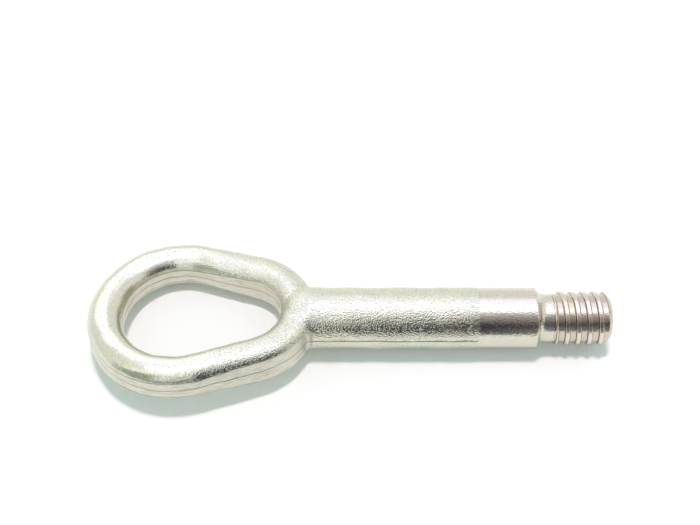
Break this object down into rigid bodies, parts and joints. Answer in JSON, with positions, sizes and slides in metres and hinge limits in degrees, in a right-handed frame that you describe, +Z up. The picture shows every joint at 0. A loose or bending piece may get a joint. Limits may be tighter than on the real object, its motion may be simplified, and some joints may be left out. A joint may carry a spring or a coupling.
{
  "type": "tow eye",
  "caption": "Forged screw-in tow eye: pear-shaped eye on a round shank with a turned band, a neck and a coarse thread.",
  "frame": {"origin": "centre of the part's box, on the ground it lies on", "axes": "+X along the shank towards the threaded end, +Z up; the part lies at rest on its shank and on the +Y side of its eye"},
  "size_m": [0.1872, 0.0674, 0.0222],
  "materials": {
    "forging": "bright zinc plating over a grainy drop forging, with a turned band and a cut thread"
  },
  "bodies": {
    "root": {"tow_eye": "forging"}
  },
  "joints": []
}
